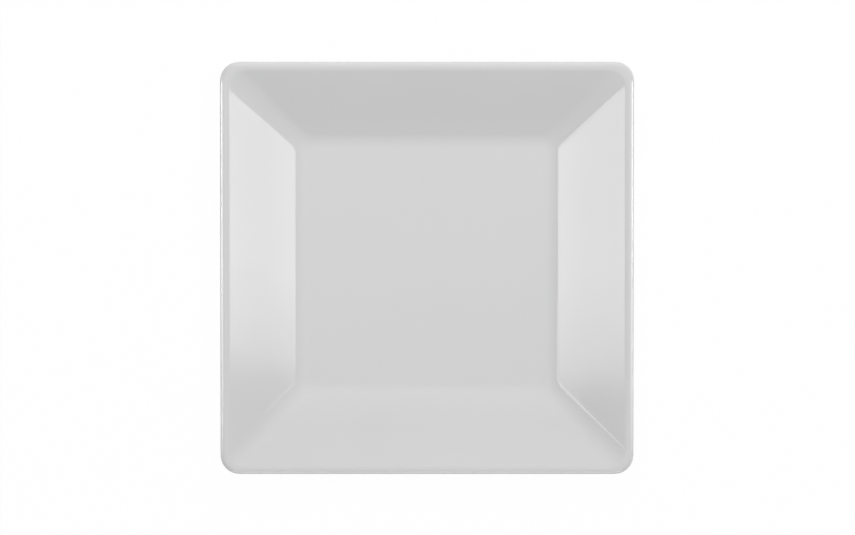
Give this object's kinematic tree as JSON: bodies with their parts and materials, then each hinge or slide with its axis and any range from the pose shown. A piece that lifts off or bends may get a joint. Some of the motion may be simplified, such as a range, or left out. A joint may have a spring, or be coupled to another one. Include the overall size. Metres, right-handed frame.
{
  "type": "square appetizer plate",
  "caption": "Square white porcelain appetizer plate: flat well, wide sloped walls with softly mitred corners, a rolled lip and a bare foot ring, glazed in two coats.",
  "frame": {"origin": "on the table under the centre of the plate, in the plane of the foot ring's standing land", "axes": "+Z up out of the well, +X and +Y along the plate's sides; +Y is up in the picture"},
  "size_m": [0.1524, 0.1524, 0.019],
  "materials": {
    "fired_porcelain": "matte",
    "white_glaze": "gloss"
  },
  "bodies": {
    "root": {"porcelain_body": "fired_porcelain", "glaze_coat": "white_glaze", "base_glaze": "white_glaze"}
  },
  "joints": []
}
